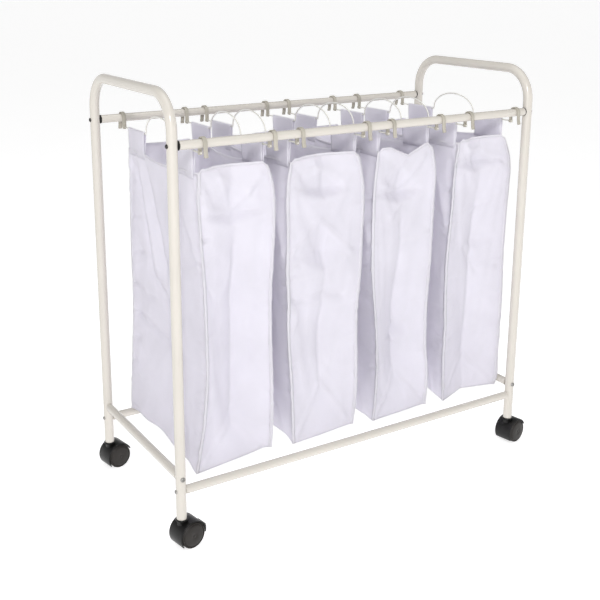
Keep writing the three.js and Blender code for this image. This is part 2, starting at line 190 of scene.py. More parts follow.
def hard(name, colours, tone, roughness, grain, **constants):
    """A hard surface of two near colours, with uneven roughness and a fine grain. tone: noise scale
    and where the mix starts and ends. roughness: noise scale, detail, lowest and highest. grain:
    noise scale, strength and depth in metres."""
    tree = Tree(bpy.data.materials.new(name))
    scale, start, end = tone
    mix = tree.ranged(tree.noise(scale, 4), 0, 1, start, end)
    scale, detail, lowest, highest = roughness
    uneven = tree.ranged(tree.noise(scale, detail), lowest, highest)
    scale, strength, depth = grain
    normal = tree.bump(tree.noise(scale, 2), strength, depth)
    return tree.shade(Base_Color=tree.mixed(mix, *colours), Roughness=uneven, Normal=normal, **constants)


def enamel(name, colour, roughness):
    """Stove enamel on steel: glossy, with a faint orange peel and slightly uneven tone."""
    return hard(
        name, (scaled(colour, 0.96), colour), (9, 0.35, 0.65), (60, 3, roughness - 0.05, roughness + 0.07),
        (420, 0.12, 0.0004), Coat_Weight=0.35, Coat_Roughness=0.12, Specular_IOR_Level=0.5,
    )


def moulded(name, colour, roughness, grain=0.15, specular=0.5):
    """Moulded plastic with a fine grain, and lighter where it is handled."""
    lighter = tuple(c * 1.25 + 0.004 for c in colour)
    return hard(
        name, (colour, lighter), (35, 0.4, 0.75), (90, 4, roughness - 0.08, roughness + 0.1),
        (1500, grain, 0.0003), Specular_IOR_Level=specular,
    )


def plated(name, colour):
    """Zinc-plated steel with fine turning scratches."""
    return hard(
        name, (scaled(colour, 0.75), colour), (160, 0.35, 0.65), (700, 3, 0.25, 0.45),
        (2500, 0.1, 0.0002), Metallic=1.0,
    )


def woven(name, colour, translucency, pitch=0.8 * MM, stitches=None):
    """Plain-weave polyester: crossing threads, a little sheen, and light passing through it. stitches:
    how far in from a tape's edge its row of stitches runs, in metres."""
    tree = Tree(bpy.data.materials.new(name))
    uv = tree.add("UVMap", [("uv_map", "cloth")])["UV"]
    parts = tree.add("SeparateXYZ", Vector=uv)
    weave = tree.math("MULTIPLY", tree.wave(parts["X"], pitch), tree.wave(parts["Y"], pitch))
    slub = tree.noise(240, 3)
    cloudy = tree.ranged(tree.noise(14, 4), 0, 1, 0.35, 0.65)
    tone = tree.mixed(cloudy, scaled(colour, 0.965), colour)
    creased = tree.bump(tree.noise(70, 5, 0.6), 0.35, 0.0012)
    if stitches:
        away = tree.math("ABSOLUTE", tree.math("SUBTRACT", parts["X"], stitches))
        row = tree.math("LESS_THAN", away, 0.45 * MM)
        dashes = tree.math("GREATER_THAN", tree.wave(parts["Y"], 3.4 * MM), -0.35)
        thread = tree.math("MULTIPLY", row, dashes)
        tone = tree.mixed(tree.math("MULTIPLY", row, 0.6), tone, scaled(colour, 0.82))
        tone = tree.mixed(thread, tone, scaled(colour, 0.9))
        creased = tree.bump(thread, 0.6, 0.0003, creased)
    normal = tree.bump(tree.math("ADD", weave, slub), 0.18, 0.0002, creased)
    tree.shade(
        Base_Color=tone, Roughness=tree.ranged(slub, 0.4, 0.55), Normal=normal,
        Sheen_Weight=0.2, Sheen_Roughness=0.5, Specular_IOR_Level=0.4,
    )
    through = tree.add("BsdfTranslucent", Color=tone, Normal=normal)
    both = tree.nodes.new("ShaderNodeMixShader")
    for socket, value in zip(both.inputs, (translucency, tree.shader.outputs["BSDF"], through["BSDF"])):
        tree.plug(socket, value)
    tree.feed(tree.nodes["Material Output"], Surface=both.outputs["Shader"])
    return tree.owner


ENAMEL = enamel("frame_enamel", (0.64, 0.605, 0.55), 0.22)
WIRE_ENAMEL = enamel("wire_enamel", (0.78, 0.77, 0.72), 0.35)
STEEL = plated("zinc_plated_steel", (0.44, 0.43, 0.41))
DARK_STEEL = plated("dark_steel", (0.09, 0.085, 0.08))
HOOK_PLASTIC = moulded("hook_plastic", (0.40, 0.375, 0.32), 0.45)
BLACK_PLASTIC = moulded("black_nylon", (0.005, 0.0048, 0.0048), 0.33, 0.15, 0.3)
WHEEL_PLASTIC = moulded("wheel_nylon", (0.017, 0.014, 0.012), 0.42, 0.25, 0.32)
FABRIC = woven("bag_polyester", (0.936, 0.921, 0.972), 0.46)
BINDING = woven("binding_tape", (0.94, 0.924, 0.97), 0.42, 0.6 * MM, 3.8 * MM)

# ---- mesh helpers


def in_material(name, mesh, material):
    mesh.materials.append(material)
    mesh.shade_smooth()
    return in_scene(name, mesh)


def new_object(name, points, faces, material):
    mesh = bpy.data.meshes.new(name)
    mesh.from_pydata([tuple(p) for p in points], [], faces)
    return in_material(name, mesh, material)


def joined(name, pieces):
    """One object from several meshes, which are dropped."""
    whole = bmesh.new()
    material = pieces[0].data.materials[0]
    for piece in pieces:
        whole.from_mesh(piece.data)
        bpy.data.objects.remove(piece)
    mesh = bpy.data.meshes.new(name)
    whole.to_mesh(mesh)
    whole.free()
    return in_material(name, mesh, material)


def edited(piece, edit):
    """Runs edit on the piece's mesh as a bmesh."""
    mesh = bmesh.new()
    mesh.from_mesh(piece.data)
    edit(mesh)
    mesh.to_mesh(piece.data)
    mesh.free()
    return piece


def crisp(piece, angle=35):
    """Keeps hard edges hard where faces meet at more than the angle."""
    piece.data.shade_smooth()

    def mark(mesh):
        for edge in mesh.edges:
            if len(edge.link_faces) == 2:
                edge.smooth = edge.calc_face_angle() < math.radians(angle)

    return edited(piece, mark)


def outward(piece):
    return edited(piece, lambda mesh: bmesh.ops.recalc_face_normals(mesh, faces=mesh.faces))


def in_mm(*pairs):
    return [(a * MM, b * MM) for a, b in pairs]


def arc(radius, start, end, steps, centre=(0, 0)):
    """Points (a, b) round an arc, its angles from the first axis."""
    turns = [start + (end - start) * i / steps for i in range(steps + 1)]
    return [(centre[0] + radius * math.cos(t), centre[1] + radius * math.sin(t)) for t in turns]


def circle(radius, sides):
    return arc(radius, 0, 2 * math.pi, sides)[:-1]


def rounded_bar(half_across, half_thick, corner, steps=4):
    """The outline of a bar with rounded corners, as a section to sweep."""
    outline = []
    for quarter, (a, b) in enumerate([(1, 1), (-1, 1), (-1, -1), (1, -1)]):
        centre = (a * (half_across - corner), b * (half_thick - corner))
        start = math.pi / 2 * quarter
        outline += arc(corner, start, start + math.pi / 2, steps, centre)
    return outline


def ring_faces(rings, count, capped=True):
    """Faces between rings of points, and over the first and the last ring."""
    faces = []
    for i in range(rings - 1):
        for j in range(count):
            k = (j + 1) % count
            faces.append((i * count + j, i * count + k, (i + 1) * count + k, (i + 1) * count + j))
    if capped:
        faces.append(tuple(reversed(range(count))))
        faces.append(tuple(range((rings - 1) * count, rings * count)))
    return faces


def sweep(name, path, section, across, material, ends=()):
    """The section carried along a flat path. across is square to the path's plane and is the
    section's first axis. ends gives (step back, scale) rings that round off both ends."""
    path = [Vector(p) for p in path]
    across = Vector(across).normalized()
    stations = []
    for i, point in enumerate(path):
        ahead = (path[min(i + 1, len(path) - 1)] - path[max(i - 1, 0)]).normalized()
        stations.append((point, ahead, 1.0))
    for back, scale in ends:
        first, last = stations[0], stations[-1]
        stations.insert(0, (path[0] - stations[1][1] * back, first[1], scale))
        stations.append((path[-1] + last[1] * back, last[1], scale))
    points = []
    for point, ahead, scale in stations:
        up = across.cross(ahead)
        points += [point + (across * a + up * b) * scale for a, b in section]
    return outward(new_object(name, points, ring_faces(len(stations), len(section)), material))


def lathe(name, profile, axis, centre, material, segments=64):
    """The profile of (radius, distance along the axis) turned about the axis through the centre."""
    axis = Vector(axis).normalized()
    side = axis.orthogonal().normalized()
    other = axis.cross(side)
    points = []
    for radius, along in profile:
        for a, b in circle(max(radius, 1e-5), segments):
            points.append(Vector(centre) + axis * along + side * a + other * b)
    faces = ring_faces(len(profile), segments, profile[0] != profile[-1])
    return outward(new_object(name, points, faces, material))


def applied(piece):
    """Replaces a piece's mesh by what its modifiers make of it."""
    graph = bpy.context.evaluated_depsgraph_get()
    graph.update()
    mesh = bpy.data.meshes.new_from_object(piece.evaluated_get(graph))
    piece.modifiers.clear()
    piece.data = mesh


def finished(piece, body, slot, *nodes):
    """Puts a piece on its body and hides the CAD nodes it stands for. slot is not used."""
    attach(piece, body)
    if nodes:
        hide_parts(*nodes)


# ---- tube frame


def tube(name, path, radius, across, node):
    piece = sweep(name, path, circle(radius, 48), across, ENAMEL)
    finished(crisp(piece), "frame", "frame_paint", node)


def end_frame(end):
    """One bent tube: two posts and the handle across their top."""
    front, rear = POST_Y["front"], POST_Y["rear"]
    bend_z = POST_TOP - BEND_RADIUS
    half_way = (POST_BOTTOM + bend_z) / 2
    path = [(front, POST_BOTTOM), (front, half_way)]
    path += arc(BEND_RADIUS, math.pi, math.pi / 2, 20, (front + BEND_RADIUS, bend_z))
    path += arc(BEND_RADIUS, math.pi / 2, 0, 20, (rear - BEND_RADIUS, bend_z))
    path += [(rear, half_way), (rear, POST_BOTTOM)]
    path = [(POST_X[end], y, z) for y, z in path]
    tube(f"end_tube_{end}", path, POST_RADIUS, (1, 0, 0), f"end_frame_{end}")


def crossbar(end):
    """A crossbar, and the screw through each post into its end."""
    low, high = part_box(f"crossbar_{end}")
    path = [(POST_X[end], y, CROSSBAR_Z) for y in (low.y - 0.2 * MM, MIDDLE_Y, high.y + 0.2 * MM)]
    tube(f"cross_tube_{end}", path, ROD_RADIUS, (1, 0, 0), f"crossbar_{end}")
    for face, way in (("front", -1), ("rear", 1)):
        place = (POST_X[end], POST_Y[face] + way * POST_RADIUS, CROSSBAR_Z)
        head = cross_screw(f"cross_screw_{face}_{end}", place, (0, way, 0), 4.6 * MM, 2.6 * MM, STEEL)
        finished(head, "frame", "screw_steel", f"crossbar_screw_{face}_{end}")


def rod(level, face, plug_material, plug_slot, plug_radius, screw_material):
    """A rod along X, with a plug's flange between each end and its post. plug_radius is in mm."""
    node = f"{level}_rod_{face}"
    low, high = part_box(node)
    y, z = POST_Y[face], middle(node).z
    plug_depth = 1.6 * MM
    path = [(x, y, z) for x in (low.x + plug_depth, (low.x + high.x) / 2, high.x - plug_depth)]
    tube(f"{level}_tube_{face}", path, ROD_RADIUS, (0, 1, 0), node)
    rounded = plug_radius - 1.2
    profile = in_mm((0, -1.2), (rounded, -1.2), (plug_radius, 0.2), (plug_radius, 1.7), (0, 1.7))
    for end, x, way in (("left", low.x, 1), ("right", high.x, -1)):
        plug = lathe(f"{level}_plug_{face}_{end}", profile, (way, 0, 0), (x, y, z), plug_material, 40)
        finished(crisp(plug), "frame", plug_slot)
        place = (POST_X[end] - way * POST_RADIUS, y, z)
        name = f"{level}_screw_{face}_{end}"
        head = cross_screw(name, place, (-way, 0, 0), 3.9 * MM, 2.2 * MM, screw_material)
        finished(head, "frame", "screw_steel")


def cross_screw(name, place, axis, radius, height, material):
    """A pan head with a cross recess, its underside on the tube at place."""
    rise = [(1, 0), (0.99, 0.35), (0.86, 0.75), (0.62, 0.97), (0.3, 1.04), (0, 1.05)]
    profile = [(radius * 0.94, -1.6 * MM)] + [(radius * a, height * b) for a, b in rise]
    head = lathe(name, profile, axis, place, material, 40)
    cutter = bmesh.new()
    turn = Vector(axis).to_track_quat("Z", "Y").to_matrix().to_4x4()
    centre = Matrix.Translation(Vector(place)) @ turn @ Matrix.Translation((0, 0, height))
    for length, width in ((radius * 1.25, radius * 0.26), (radius * 0.26, radius * 1.25)):
        size = Matrix.Diagonal((length, width, height * 1.1, 1))
        bmesh.ops.create_cube(cutter, size=1, matrix=centre @ size)
    cut_mesh = bpy.data.meshes.new(name + "_recess")
    cutter.to_mesh(cut_mesh)
    cutter.free()
    recess = in_scene(name + "_recess", cut_mesh)
    cut = head.modifiers.new("recess", "BOOLEAN")
    cut.operation, cut.object, cut.solver = "DIFFERENCE", recess, "EXACT"
    cut.use_self = True
    applied(head)
    bpy.data.objects.remove(recess)
    return crisp(head, 40)


for side in POST_X:
    end_frame(side)
    crossbar(side)
for face in POST_Y:
    rod("upper", face, BLACK_PLASTIC, "caster_plastic", ROD_RADIUS / MM + 0.5, DARK_STEEL)
for face in POST_Y:
    rod("lower", face, ENAMEL, "frame_paint", ROD_RADIUS / MM - 0.6, STEEL)

# ---- casters
# Each is made about its swivel axis, with the trail along +X, then turned and put under its post.

AXLE = (CASTER_TRAIL, 0, WHEEL_RADIUS)
ALONG_Y = (0, 1, 0)


def from_axle(points, y=0):
    """Points (a, b) from the axle, put in the plane at y."""
    return [(AXLE[0] + a, y, AXLE[2] + b) for a, b in points]


def hood(material):
    """The cover over both wheels, a shell with rolled edges."""
    half_thick = (HOOD_OUTER_RADIUS - HOOD_INNER_RADIUS) / 2
    path = from_axle(arc(HOOD_RADIUS, HOOD_START, HOOD_END, 40))
    section = rounded_bar(HOOD_HALF_WIDTH + 0.3 * MM, half_thick, 1.0 * MM)
    return crisp(sweep("hood", path, section, ALONG_Y, material, [(0.5 * MM, 0.985), (0.4 * MM, 0.95)]), 50)


def web(material):
    """The wall between the wheels, with the axle's hub."""
    outline = arc(HOOD_RADIUS, HOOD_START + 0.17, HOOD_END - 0.05, 24) + [(0, 0)]
    points = from_axle(outline, -3.5 * MM) + from_axle(outline, 3.5 * MM)
    count = len(outline)
    faces = [tuple(range(count)), tuple(reversed(range(count, 2 * count)))]
    faces += [(i, i + count, (i + 1) % count + count, (i + 1) % count) for i in range(count)]
    wall = outward(new_object("web", points, faces, material))
    hub = lathe("hub", in_mm((0, -4), (9, -4), (9, 4), (0, 4)), ALONG_Y, AXLE, material)
    return [wall, crisp(hub)]


def collar(material):
    """The neck under the post, with the flange that the post stands on."""
    top = POST_BOTTOM / MM - 0.1
    neck = [(8.6, 46), (9.0, top - 5.2), (10.2, top - 3.6)]
    flange = [(11.2, top - 2.6), (11.6, top - 1.8), (11.6, top - 0.7), (11.2, top)]
    stem = [(7.8, top), (7.8, top + 3), (0, top + 3)]
    return crisp(lathe("collar", in_mm(*neck, *flange, *stem), (0, 0, 1), (0, 0, 0), material), 40)


def wheel(name, side, material):
    """A twin wheel's half: a grooved, domed disc outside the tread. side is -1 at the front."""
    edge = WHEEL_RADIUS / MM
    tread = [(3.2, 5.2), (edge - 2.0, 5.2), (edge - 0.6, 5.8), (edge, 7.2), (edge, 17.4)]
    shoulder = [(edge - 0.5, 18.8), (edge - 1.6, 19.5), (edge - 2.5, 19.3)]
    groove = [(edge - 2.9, 18.0), (edge - 3.5, 18.0), (edge - 3.9, 19.0)]
    dome = [(edge - 5.0, 19.9), (edge - 8.5, 20.7), (10.5, 21.2), (4.6, 21.5)]
    cap = [(3.9, 21.2), (3.3, 21.2), (2.6, 21.6), (0, 21.7)]
    profile = in_mm(*tread, *shoulder, *groove, *dome, *cap)
    return crisp(lathe(name, profile, (0, side, 0), AXLE, material, 96), 45)


def brake_lever(material):
    """A ribbed pedal on an arm that pivots in the web."""
    plate = from_axle(arc(31.3 * MM, math.radians(-13), math.radians(15), 14))
    ends = [(0.6 * MM, 0.9), (0.3 * MM, 0.7)]
    pedal = sweep("pedal", plate, rounded_bar(12 * MM, 2.6 * MM, 1.2 * MM), ALONG_Y, material, ends)
    ribs = []
    for degrees in (-8, -3, 2, 7, 12):
        x, _, z = from_axle(arc(33.9 * MM, math.radians(degrees), 0, 1))[0]
        path = [(x, y, z) for y in (-10.5 * MM, 0, 10.5 * MM)]
        ribs.append(sweep("rib", path, circle(0.7 * MM, 10), (1, 0, 0), material, [(0.4 * MM, 0.6)]))
    pivot, half_way, tip = from_axle(in_mm((18, 6), (24, 4.6), (30, 4.6)))
    arm = sweep("arm", [pivot, half_way, tip], rounded_bar(4 * MM, 2.5 * MM, 0.8 * MM), ALONG_Y, material)
    profile = in_mm((0, -4), (3.6, -4), (4, -3.6), (4, 3.6), (3.6, 4), (0, 4))
    knuckle = lathe("knuckle", profile, ALONG_Y, pivot, material, 32)
    return [crisp(pedal, 50), *ribs, crisp(arm, 50), crisp(knuckle, 50)]


def caster(face, end):
    name = f"caster_{face}_{end}"
    place = Matrix.Translation((POST_X[end], POST_Y[face], 0)) @ Matrix.Rotation(CASTER_TURN, 4, "Z")

    def put(piece, body, slot, node):
        piece.data.transform(place)
        finished(piece, body, slot, node)

    housing = joined(f"{name}_hood", [hood(BLACK_PLASTIC), *web(BLACK_PLASTIC), collar(BLACK_PLASTIC)])
    put(crisp(housing, 40), name, "caster_plastic", f"{name}_housing")
    for wheel_face, side in (("front", -1), ("rear", 1)):
        node = f"{name}_wheel_{wheel_face}"
        put(wheel(f"{name}_disc_{wheel_face}", side, WHEEL_PLASTIC), node, "wheel_plastic", node)
    node = f"{name}_brake_lever"
    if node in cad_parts:
        lever = joined(f"{name}_pedal", brake_lever(BLACK_PLASTIC))
        put(crisp(lever, 45), node, "caster_plastic", node)


for side in POST_X:
    for face in POST_Y:
        caster(face, side)

# ---- wires and hooks
# Each is made in the YZ plane, then turned by the bag's skew and put at its hanger's place.


def hanger_place(number, end):
    """The matrix that carries a hanger from x = 0 to its place on the rods."""
    x = middle(f"bag_{number}_wire_{end}").x
    skew = math.radians(BAG_SKEWS[number - 1])
    return Matrix.Translation((x, MIDDLE_Y, 0)) @ Matrix.Rotation(skew, 4, "Z")


def wire(number, end, body):
    """A straight wire with a round arch in its middle."""
    reach = HALF_SPAN - HOOK_SLOT_RADIUS + 2.5 * MM
    foot = ARCH_HALF_WIDTH + ARCH_FILLET
    foot_z = WIRE_Z + ARCH_FILLET
    half = [(-reach, WIRE_Z), (-(reach + foot) / 2, WIRE_Z)]
    half += arc(ARCH_FILLET, -math.pi / 2, 0, 6, (-foot, foot_z))
    rise = ARCH_PEAK_Z - foot_z
    half += [(ARCH_HALF_WIDTH * a, foot_z + rise * b) for a, b in arc(1, math.pi, math.pi / 2, 16)[1:-1]]
    path = half + [(0, ARCH_PEAK_Z)] + [(-y, z) for y, z in reversed(half)]
    node = f"bag_{number}_wire_{end}"
    path = [(0, y, z) for y, z in path]
    ends = [(0.6 * MM, 0.8), (0.4 * MM, 0.4)]
    rail = sweep(f"{node}_rod", path, circle(WIRE_RADIUS, 14), (1, 0, 0), WIRE_ENAMEL, ends)
    rail.data.transform(hanger_place(number, end))
    finished(rail, body, "wire_paint", node)


def hook(number, face, end, body):
    """A strap over the rod with a flared lip in front and a boss for the wire behind."""
    way = -1 if face == "front" else 1
    reach = HALF_SPAN / math.cos(math.radians(BAG_SKEWS[number - 1]))
    radius = HOOK_SLOT_RADIUS + 1.5 * MM
    lip = [(radius + 2.6 * MM, -23 * MM), (radius + 0.8 * MM, -17 * MM), (radius, -9 * MM)]
    path = lip + arc(radius, 0, math.pi, 18) + [(-radius, -9 * MM), (-radius, -20.5 * MM)]
    path = [(0, way * (reach + a), UPPER_ROD_Z + b) for a, b in path]
    section = rounded_bar(3.9 * MM, 1.5 * MM, 0.9 * MM)
    ends = [(0.6 * MM, 0.85), (0.3 * MM, 0.6)]
    strap = sweep("strap", path, section, (1, 0, 0), HOOK_PLASTIC, ends)
    profile = in_mm((1.7, -3.4), (3.4, -3.0), (3.7, 0), (3.7, 2.2), (3.1, 3.4), (1.7, 3.6), (1.7, -3.4))
    boss_place = (0, way * (reach - radius), WIRE_Z)
    boss = lathe("boss", profile, (0, -way, 0), boss_place, HOOK_PLASTIC, 28)
    node = f"bag_{number}_hook_{face}_{end}"
    clip = crisp(joined(f"{node}_clip", [strap, boss]), 45)
    clip.data.transform(hanger_place(number, end))
    finished(clip, body, "hook_plastic", node)


for bag_number in range(1, 5):
    for side, hanger_body in (("left", f"bag_{bag_number}"), ("right", f"bag_{bag_number}_right_hanger")):
        wire(bag_number, side, hanger_body)
        for face in POST_Y:
            hook(bag_number, face, side, hanger_body)

# ---- bags
# A bag's own frame: x from the middle of its mouth, y from the middle of the frame, z from the floor.
# The surface is a closed band of columns round the bag and rows up it, plus a bottom.

FRONT_COLUMNS = 40
SIDE_COLUMNS = 62
ROWS = 118
CLOTH = 0.7 * MM
TAPE_CLOTH = 0.5 * MM

# In mm
HALF = 145  # half the depth of a bag
END_TOP = 697
SIDE_TOP = 688
TAB_INNER = 66
TAB_OUTER = 141
TAPE = 5.5  # how much of each panel a bound edge covers

# In mm. left and right: how far each front edge stands from the middle, at heights from the bottom
# up. gusset: how deep the front's middle folds in. apex: height over the bottom where that fold
# opens into the two creases that run to the corners. pits: dents as flat-sided pyramids, each
# (place across, height, half width, reach up, reach down, depth); places across run from 0 to 1.
# bulge: how far the front swells out. droop: where its top edge sags, half width and depth. bottom:
# height of the front and rear seams of the base. tilt: how much higher the front's right end is.
# arch: rise of the sides' lower seams midway. base_fold: depth of the fold at the base. creases:
# sharp lines pressed into the cloth, each ((place across, height), ...), height, spread.
BAG_SHAPES = [dict(
    left=[(118, -77), (150, -71), (200, -61), (290, -51), (400, -51), (500, -55), (570, -61),
          (640, -66), (697, -64)],
    right=[(118, 84), (160, 88), (240, 89), (340, 86), (440, 85), (520, 90), (620, 93), (660, 88),
           (697, 75)],
    gusset=[(124, 40), (230, 44), (350, 45), (450, 40), (540, 26), (600, 18), (650, 16), (697, 13)],
    bulge=[(124, 0), (400, 0), (560, 2), (660, 4), (697, 0)],
    pits=[(0.46, 604, 0.44, 64, 22, 16)],
    droop=(0.12, 0.14, 3), bottom=(118, 138), apex=80, tilt=13, arch=12, base_fold=0,
    creases=[
        ([(0.3, 680), (0.38, 645), (0.46, 606)], 2.5, 6),
        ([(0.02, 642), (0.12, 624), (0.3, 610), (0.46, 604), (0.58, 630), (0.7, 652), (0.86, 668)], 3.5, 7),
        ([(0.28, 681), (0.5, 661), (0.68, 648)], 1.5, 5),
        ([(0, 495), (0.04, 481), (0.16, 452)], -2.5, 6),
        ([(0, 160), (0.2, 132)], 2, 5),
        ([(0.7, 470), (0.98, 452)], -1.5, 6),
        ([(0.98, 330), (0.7, 300), (0.6, 240)], 1.5, 9),
    ],
), dict(
    left=[(124, -58), (200, -61), (284, -66), (335, -71), (420, -73), (470, -76), (560, -76),
          (650, -77), (697, -68)],
    right=[(124, 84), (176, 91), (370, 91), (410, 93), (450, 97), (520, 99), (640, 98), (664, 93),
           (697, 82)],
    gusset=[(124, 18), (240, 26), (365, 24), (430, 12), (500, 8), (600, 8), (650, 12), (697, 16)],
    bulge=[(124, 0), (360, 2), (450, 9), (560, 4), (640, 3), (697, 0)],
    pits=[(0.5, 626, 0.42, 46, 16, 15), (0.47, 508, 0.47, 56, 40, 13)],
    droop=(0.1, 0.12, 3), bottom=(123, 150), apex=110, tilt=8, arch=14, base_fold=0,
    creases=[
        ([(0.36, 682), (0.42, 656), (0.48, 626)], 2.5, 6),
        ([(0, 650), (0.18, 664), (0.36, 679), (0.56, 659), (0.74, 636)], 2.5, 6),
        ([(0, 637), (0.2, 627), (0.47, 617), (0.6, 619), (0.75, 628)], 3, 7),
        ([(0, 512), (0.2, 548), (0.42, 570), (0.62, 539), (0.84, 500)], 4.5, 8),
        ([(0.43, 567), (0.44, 527), (0.42, 490)], -2, 6),
        ([(0, 428), (0.12, 418), (0.32, 416), (0.5, 421), (0.75, 414)], -4.5, 9),
        ([(0, 476), (0.12, 484)], 2.5, 5),
        ([(0, 428), (0.14, 384), (0.02, 350)], 3, 5),
        ([(0, 425), (0.06, 398)], -3, 4),
        ([(0.5, 275), (0.72, 224)], 1.5, 8),
    ],
), dict(
    left=[(124, -53), (160, -49), (300, -48), (378, -57), (442, -65), (500, -68), (640, -67),
          (697, -60)],
    right=[(124, 86), (165, 89), (210, 88), (255, 82), (350, 79), (440, 84), (567, 87), (640, 88),
           (673, 82), (697, 72)],
    gusset=[(124, 36), (215, 40), (300, 42), (380, 34), (450, 22), (540, 14), (600, 12), (697, 6)],
    bulge=[(124, 0), (400, 0), (480, 4), (600, 2), (697, 4)],
    pits=[(0.45, 600, 0.42, 56, 20, 16), (0.5, 292, 0.3, 30, 14, 7)],
    droop=(0.55, 0.32, 20), bottom=(123, 146), apex=88, tilt=6, arch=10, base_fold=0,
    creases=[
        ([(0.02, 630), (0.2, 619), (0.45, 601), (0.6, 635), (0.82, 669)], 3.5, 7),
        ([(0.32, 556), (0.45, 575), (0.68, 612)], 3, 8),
        ([(0.5, 668), (0.3, 653), (0.18, 645)], 2.5, 6),
        ([(0.58, 270), (0.4, 298), (0.46, 316), (0.66, 322)], 3, 6),
        ([(0, 190), (0.24, 162), (0, 137)], 3, 6),
        ([(0.33, 495), (0.55, 508), (0.8, 507)], 1.5, 8),
    ],
), dict(
    left=[(124, -56), (200, -60), (280, -60), (345, -63), (430, -65), (560, -59), (636, -57),
          (664, -53), (697, -46)],
    right=[(124, 90), (140, 97), (200, 98), (315, 100), (452, 97), (542, 99), (586, 101), (630, 101),
           (665, 91), (697, 76)],
    gusset=[(124, 34), (206, 38), (300, 34), (430, 26), (550, 26), (610, 14), (650, 14), (697, 10)],
    bulge=[(124, 0), (400, 2), (560, 4), (660, 3), (697, 0)],
    pits=[(0.42, 642, 0.5, 34, 18, 15), (0.6, 470, 0.3, 40, 20, 5)],
    droop=(0.15, 0.15, 3), bottom=(123, 148), apex=84, tilt=6, arch=24, base_fold=26,
    creases=[
        ([(0.2, 677), (0.36, 642)], 2.5, 6),
        ([(0, 648), (0.33, 642), (0.6, 637), (0.84, 633), (0.53, 659), (0.18, 680)], 3.5, 6),
        ([(0.86, 573), (0.64, 555), (0.36, 532)], 2.5, 8),
        ([(0.36, 456), (0.56, 414), (0.64, 398)], -3, 7),
        ([(0.62, 415), (0.88, 403)], 2.5, 4),
        ([(0.02, 399), (0.4, 390)], -1.5, 4),
        ([(0.76, 295), (0.6, 266)], 1.5, 8),
    ],
)]

# Folds of the side panels in mm, as ((y, z), (y, z), ...), height outward and spread.
SIDE_FOLDS = [
    ([(76, 686), (48, 623), (21, 545), (3, 469)], -5, 7),
    ([(105, 684), (75, 620), (52, 545), (34, 470)], 5, 9),
    ([(135, 668), (109, 648), (85, 587), (68, 501), (59, 454), (5, 412), (-40, 380)], -6, 8),
    ([(140, 354), (74, 342), (8, 326), (-40, 316)], -6, 10),
    ([(-65, 664), (-103, 596), (-132, 512)], 4, 10),
    ([(-51, 230), (-97, 183), (-114, 135)], 3, 8),
    ([(143, 480), (100, 489)], -4, 6),
    ([(143, 560), (108, 556)], -3, 6),
    ([(143, 420), (90, 400), (60, 404)], -3, 7),
    ([(143, 298), (112, 303)], -4, 6),
    ([(143, 240), (100, 226)], 3, 6),
    ([(140, 160), (92, 154), (115, 119)], 3, 7),
]


def smooth_curve(points, at):
    """A smooth line through (place, value) points, read at an array of places."""
    places, values = (np.array(column, float) for column in zip(*points))
    slopes = np.gradient(values, places)
    at = np.clip(at, places[0], places[-1])
    i = np.clip(np.searchsorted(places, at) - 1, 0, len(places) - 2)
    span = places[i + 1] - places[i]
    t = (at - places[i]) / span
    return (
        (2 * t**3 - 3 * t**2 + 1) * values[i]
        + (t**3 - 2 * t**2 + t) * span * slopes[i]
        + (3 * t**2 - 2 * t**3) * values[i + 1]
        + (t**3 - t**2) * span * slopes[i + 1]
    )


def eased(value, start, end):
    t = np.clip((value - start) / (end - start), 0, 1)
    return t * t * (3 - 2 * t)


def line_distance(points, a, b):
    """Distance from each point (a, b) to a line through several corners."""
    best = np.full(a.shape, 1e9)
    for (a0, b0), (a1, b1) in zip(points, points[1:]):
        da, db = a1 - a0, b1 - b0
        t = np.clip(((a - a0) * da + (b - b0) * db) / (da * da + db * db), 0, 1)
        best = np.minimum(best, np.hypot(a - a0 - t * da, b - b0 - t * db))
    return best


def swell(a, b, seed):
    """The slow, uneven in and out of hanging cloth, in mm."""

    def out(x, z):
        return 2.2 * noise.noise((x * 0.009, seed * 7.3, z * 0.005))

    return np.vectorize(out, otypes=[float])(a, b)


def crumple(a, b, seed, amount):
    """Small facets that meet in sharp creases, in mm."""

    def out(x, z):
        bent = 0.02 * noise.noise((x * 18, z * 18, seed * 1.7))
        wide = abs(noise.noise((x * 16 + bent * 20, seed * 3.1, z * 10)))
        small = abs(noise.noise((x * 38, seed * 5.7 + 9, z * 25 + bent * 30)))
        return amount * (3.4 * (0.25 - wide) + 1.3 * (0.25 - small))

    return np.vectorize(out, otypes=[float])(a / 1000, b / 1000)


def pressed(lines, a, b, scale=1):
    """Sharp creases along those lines, in mm."""
    out = np.zeros(a.shape)
    for points, lift, spread in lines:
        out += lift * np.exp(-line_distance([(x * scale, z) for x, z in points], a, b) / spread)
    return out


def puckers(across, height, width, rng, count, reach=24):
    """Short creases that run in from both seams of a panel, in mm."""
    out = np.zeros(across.shape)
    for _ in range(count):
        z = rng.uniform(140, 680)
        length = rng.uniform(0.4, 1.2) * reach
        lift = rng.uniform(1.2, 3.4) * rng.choice([-1, 1])
        thick = rng.uniform(2.5, 5)
        slope = rng.uniform(-0.5, 0.5)
        from_edge = across if rng.random() < 0.5 else width - across
        grows = np.clip(from_edge / 8, 0.25, 1)
        line = np.exp(-(((height - z - slope * from_edge) / thick) ** 2))
        out += lift * grows * line * np.exp(-from_edge / length)
    return out


